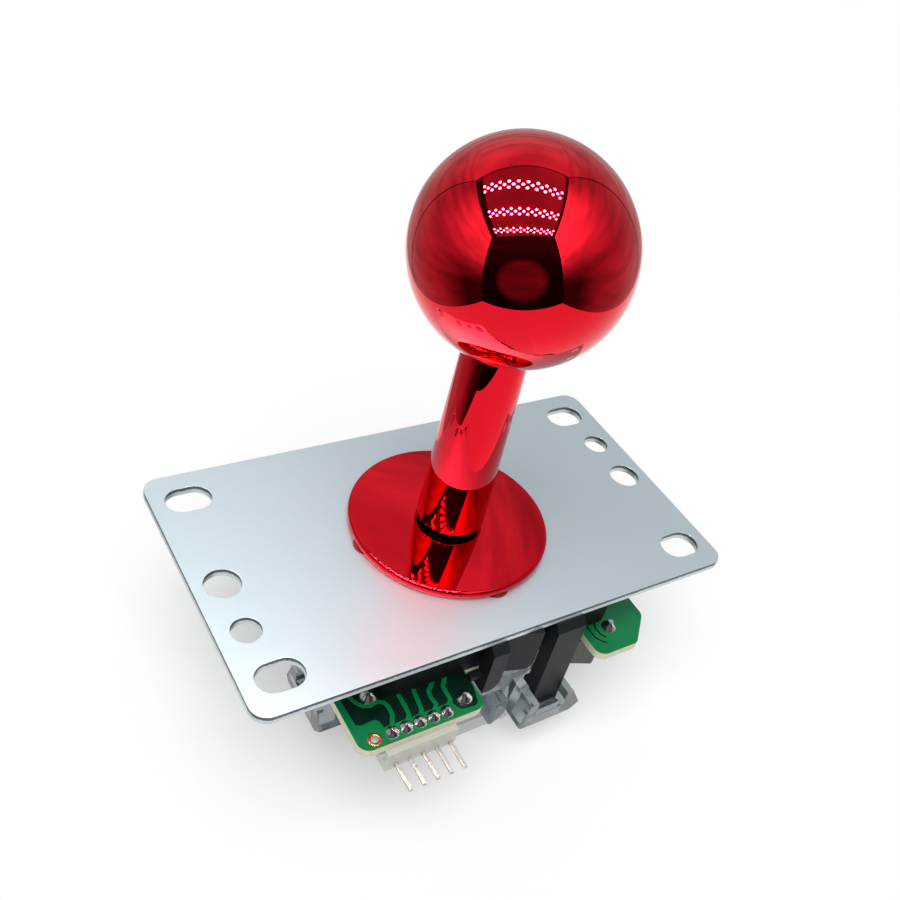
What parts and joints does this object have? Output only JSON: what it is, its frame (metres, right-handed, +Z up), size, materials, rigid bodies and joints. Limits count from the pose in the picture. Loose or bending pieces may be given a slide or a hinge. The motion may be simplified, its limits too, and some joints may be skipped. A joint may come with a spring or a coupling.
{
  "type": "arcade joystick lever",
  "caption": "Ball-topped arcade joystick lever on a slotted steel plate, with a black housing, a switch board with a pin header, and a clear square gate.",
  "frame": {"origin": "the lever's axis on the mounting plate's top face, which is the centre of the four slots", "axes": "+Z up the lever, +X along the plate's long side, -Y the way the header's pins point"},
  "size_m": [0.095, 0.0694, 0.1075],
  "materials": {
    "zinc_steel": "fine brushed zinc-plated steel",
    "screw_steel": "plated steel",
    "red_chrome": "red vacuum-plated mirror finish",
    "black_nylon": "satin moulded",
    "green_board": "green solder mask",
    "solder": "bright solder",
    "header_nylon": "off-white moulded",
    "tinned_pins": "tinned",
    "clear_gate": "clear moulded plastic",
    "spring_steel": "bright spring steel",
    "natural_acetal": "natural white, smooth",
    "black_acetal": "smooth black",
    "bright_steel": "polished",
    "brass_insert": "turned brass",
    "switch_plastic": "dark moulded",
    "plunger_plastic": "smooth moulded",
    "leaf_steel": "rolled strip"
  },
  "bodies": {
    "base": {"mounting_plate": "zinc_steel", "plate_screws": "screw_steel", "dust_washer": "red_chrome", "housing": "black_nylon", "circuit_board": "green_board", "solder_joints": "solder", "header_base": "header_nylon", "header_pins": "tinned_pins", "restrictor_gate": "clear_gate", "spring_washer": "screw_steel", "switch_case_1": "switch_plastic", "switch_case_2": "switch_plastic", "switch_case_3": "switch_plastic", "switch_case_4": "switch_plastic", "switch_terminals_1": "tinned_pins", "switch_terminals_2": "tinned_pins", "switch_terminals_3": "tinned_pins", "switch_terminals_4": "tinned_pins", "switch_leaf_1": "leaf_steel", "switch_leaf_2": "leaf_steel", "switch_leaf_3": "leaf_steel", "switch_leaf_4": "leaf_steel"},
    "tilt_ring": {"centering_spring": "spring_steel"},
    "carriage": {"pivot_ball": "natural_acetal", "actuator": "black_acetal"},
    "lever": {"shaft": "bright_steel", "upper_ring": "spring_steel", "lower_ring": "spring_steel", "shaft_cover": "red_chrome", "ball_top": "red_chrome", "ball_insert": "brass_insert"},
    "plunger_1": {"switch_plunger_1": "plunger_plastic"},
    "plunger_2": {"switch_plunger_2": "plunger_plastic"},
    "plunger_3": {"switch_plunger_3": "plunger_plastic"},
    "plunger_4": {"switch_plunger_4": "plunger_plastic"}
  },
  "joints": [
    {"name": "fore_aft", "type": "hinge", "parent": "base", "child": "tilt_ring", "pos_m": [0, 0, -0.004], "axis": [1, 0, 0], "range_deg": [-6, 6], "stiffness_Nm_per_rad": 0.8, "deforming": ["centering_spring", "switch_leaf_1", "switch_leaf_3"]},
    {"name": "left_right", "type": "hinge", "parent": "tilt_ring", "child": "carriage", "pos_m": [0, 0, -0.004], "axis": [0, 1, 0], "range_deg": [-6, 6], "stiffness_Nm_per_rad": 0.8, "deforming": ["switch_leaf_2", "switch_leaf_4"]},
    {"name": "lever_spin", "type": "hinge", "parent": "carriage", "child": "lever", "pos_m": [0, 0, -0.004], "axis": [0, 0, 1], "continuous": true},
    {"name": "plunger_press_1", "type": "slide", "parent": "base", "child": "plunger_1", "axis": [-0.3923, -0.9198, 0], "range_m": [0, 0.0009], "stiffness_N_per_m": 400, "springref_m": -0.0015},
    {"name": "plunger_press_2", "type": "slide", "parent": "base", "child": "plunger_2", "axis": [0.9198, -0.3923, 0], "range_m": [0, 0.0009], "stiffness_N_per_m": 400, "springref_m": -0.0015},
    {"name": "plunger_press_3", "type": "slide", "parent": "base", "child": "plunger_3", "axis": [0.3923, 0.9198, 0], "range_m": [0, 0.0009], "stiffness_N_per_m": 400, "springref_m": -0.0015},
    {"name": "plunger_press_4", "type": "slide", "parent": "base", "child": "plunger_4", "axis": [-0.9198, 0.3923, 0], "range_m": [0, 0.0009], "stiffness_N_per_m": 400, "springref_m": -0.0015}
  ]
}
